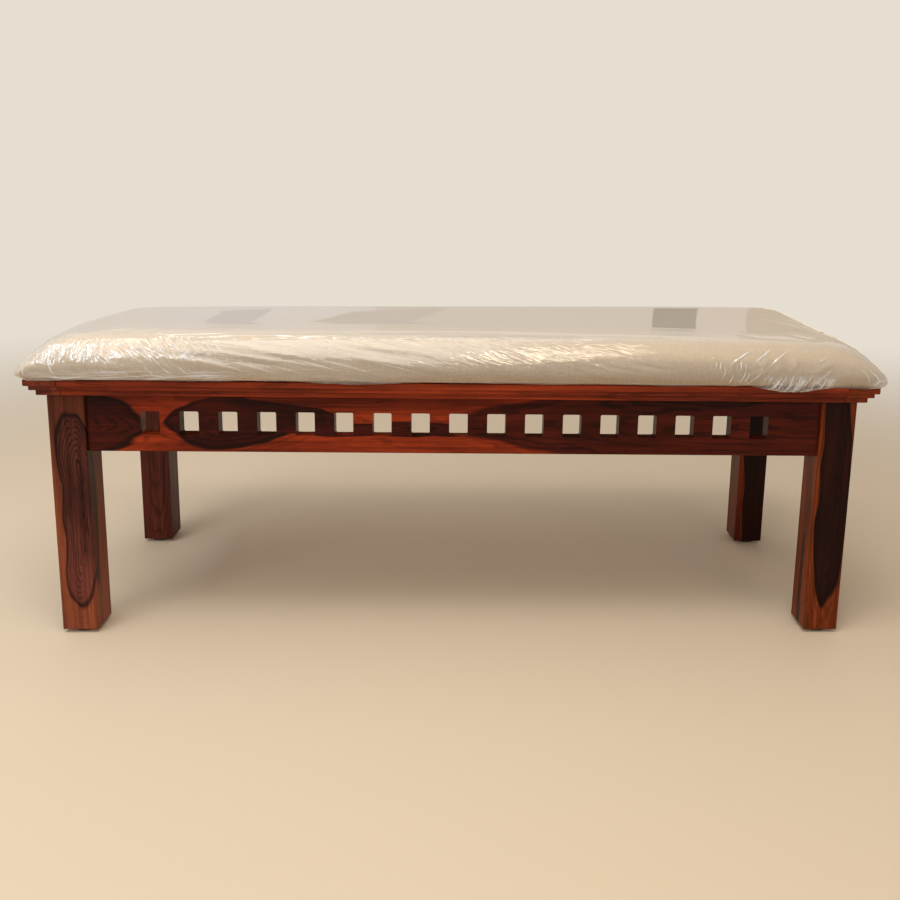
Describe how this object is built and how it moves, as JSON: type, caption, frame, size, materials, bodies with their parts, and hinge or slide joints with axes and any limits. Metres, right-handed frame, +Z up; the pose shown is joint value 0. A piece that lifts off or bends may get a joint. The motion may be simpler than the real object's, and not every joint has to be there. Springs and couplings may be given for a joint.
{
  "type": "upholstered dining bench",
  "caption": "Backless dining bench of dark figured hardwood on square legs, with windowed aprons, a stepped moulded top and a padded fabric seat under clear film.",
  "frame": {"origin": "on the floor, under the middle of the bench", "axes": "+X along the length, to the right seen from the front; +Y towards the back; +Z up"},
  "size_m": [1.2462, 0.461, 0.4571],
  "materials": {
    "lacquered_rosewood": "glossy lacquer over red-brown rosewood with near-black heartwood figure",
    "plain_rosewood": "stained, unpolished",
    "plywood": "raw plywood",
    "foam": "open-cell foam",
    "woven_cover": "plain woven cream upholstery cloth",
    "clear_film": "clear crinkled packing film",
    "zinc_steel": "zinc plated",
    "black_plastic": "black moulded plastic"
  },
  "bodies": {
    "root": {"apron_front": "lacquered_rosewood", "apron_left": "lacquered_rosewood", "apron_rear": "lacquered_rosewood", "apron_right": "lacquered_rosewood", "block_screw_front_left_a": "zinc_steel", "block_screw_front_left_b": "zinc_steel", "block_screw_front_right_a": "zinc_steel", "block_screw_front_right_b": "zinc_steel", "block_screw_rear_left_a": "zinc_steel", "block_screw_rear_left_b": "zinc_steel", "block_screw_rear_right_a": "zinc_steel", "block_screw_rear_right_b": "zinc_steel", "corner_block_front_left": "plain_rosewood", "corner_block_front_right": "plain_rosewood", "corner_block_rear_left": "plain_rosewood", "corner_block_rear_right": "plain_rosewood", "cross_rail_left": "plain_rosewood", "cross_rail_right": "plain_rosewood", "end_rail_left": "lacquered_rosewood", "end_rail_right": "lacquered_rosewood", "foam_pad": "foam", "frame_screw_front_left": "zinc_steel", "frame_screw_front_right": "zinc_steel", "frame_screw_rear_left": "zinc_steel", "frame_screw_rear_right": "zinc_steel", "glide_front_left": "black_plastic", "glide_front_right": "black_plastic", "glide_rear_left": "black_plastic", "glide_rear_right": "black_plastic", "leg_front_left": "lacquered_rosewood", "leg_front_right": "lacquered_rosewood", "leg_rear_left": "lacquered_rosewood", "leg_rear_right": "lacquered_rosewood", "long_rail_front": "lacquered_rosewood", "long_rail_rear": "lacquered_rosewood", "protective_film": "clear_film", "seat_board": "plywood", "seat_cover": "woven_cover", "seat_screw_front_left": "zinc_steel", "seat_screw_front_right": "zinc_steel", "seat_screw_rear_left": "zinc_steel", "seat_screw_rear_right": "zinc_steel"}
  },
  "joints": []
}
